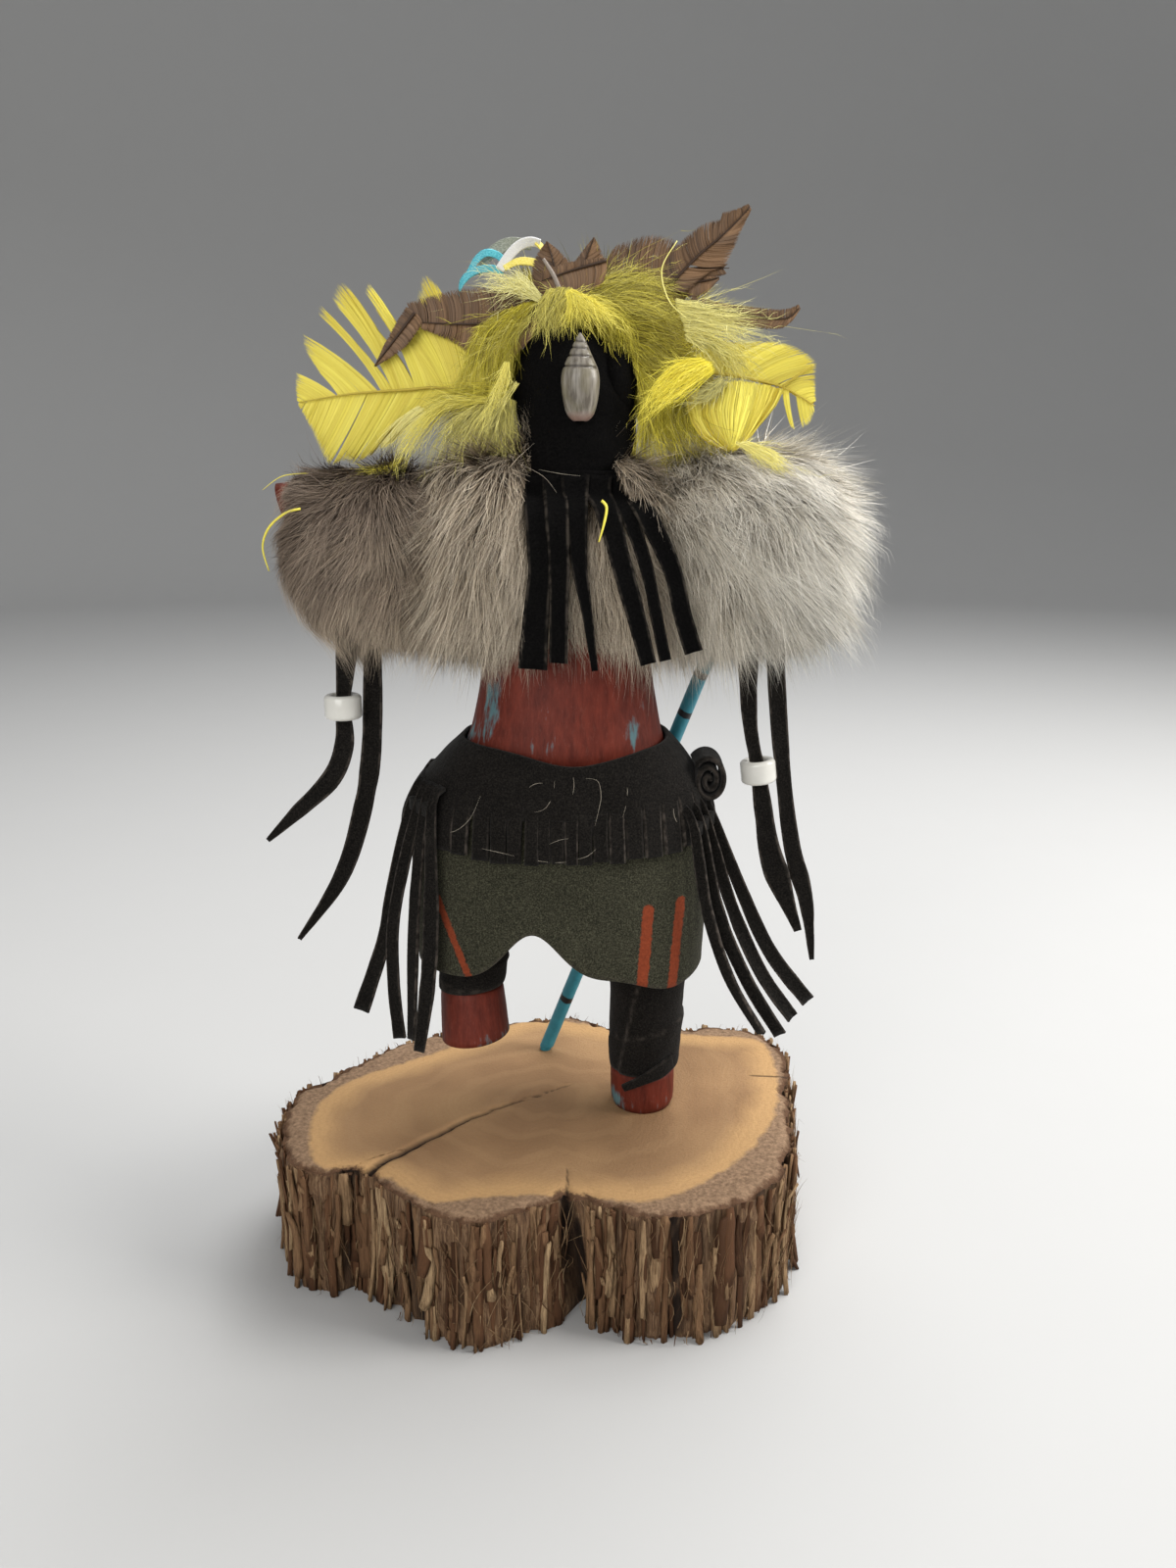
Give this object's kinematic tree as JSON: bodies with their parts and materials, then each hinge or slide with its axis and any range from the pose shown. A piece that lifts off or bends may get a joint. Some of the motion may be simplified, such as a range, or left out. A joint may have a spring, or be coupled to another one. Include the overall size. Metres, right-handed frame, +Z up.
{
  "type": "kachina doll",
  "caption": "Carved and painted dancing figure in a suede kilt, fur and feathers, one foot raised, on a slice of trunk.",
  "frame": {"origin": "middle of the slice's flat underside, on the surface it stands on", "axes": "+Z up, the figure faces -Y, +X to the right of a person looking at its face"},
  "size_m": [0.1479, 0.1072, 0.2614],
  "materials": {
    "slice_wood": "sanded top, shaggy bark",
    "painted_wood": "matte worn paint",
    "black_suede": "napped suede",
    "kilt_suede": "napped suede",
    "shell": "polished sea shell",
    "painted_stick": "satin paint",
    "grey_fur": "rabbit fur",
    "tan_fur": "rabbit fur",
    "white_fur": "rabbit fur",
    "bead_plastic": "glossy",
    "yellow_down": "loose down",
    "yellow_feather": "dyed feather",
    "brown_feather": "feather",
    "turquoise_ribbon": "satin ribbon",
    "white_ribbon": "satin ribbon",
    "yellow_ribbon": "satin ribbon"
  },
  "bodies": {
    "root": {"trunk_slice": "slice_wood", "carved_figure": "painted_wood", "suede_hood": "black_suede", "chin_fringe": "black_suede", "olive_shell": "shell", "kilt": "kilt_suede", "fringed_belt": "black_suede", "hip_fringe_left": "black_suede", "hip_fringe_right": "black_suede", "legging_standing": "black_suede", "legging_raised": "black_suede", "staff": "painted_stick", "fur_cuff_left": "grey_fur", "fur_collar": "tan_fur", "fur_sleeve_right": "white_fur", "tie_left_1": "black_suede", "tie_left_2": "black_suede", "tie_right_1": "black_suede", "tie_right_2": "black_suede", "bead_left": "bead_plastic", "bead_right": "bead_plastic", "down_ruff": "yellow_down", "yellow_feather_left": "yellow_feather", "yellow_feather_right": "yellow_feather", "brown_feather_1": "brown_feather", "brown_feather_2": "brown_feather", "brown_feather_3": "brown_feather", "brown_feather_4": "brown_feather", "brown_feather_5": "brown_feather", "brown_feather_6": "brown_feather", "ribbon_turquoise": "turquoise_ribbon", "ribbon_white": "white_ribbon", "ribbon_yellow": "yellow_ribbon"}
  },
  "joints": []
}
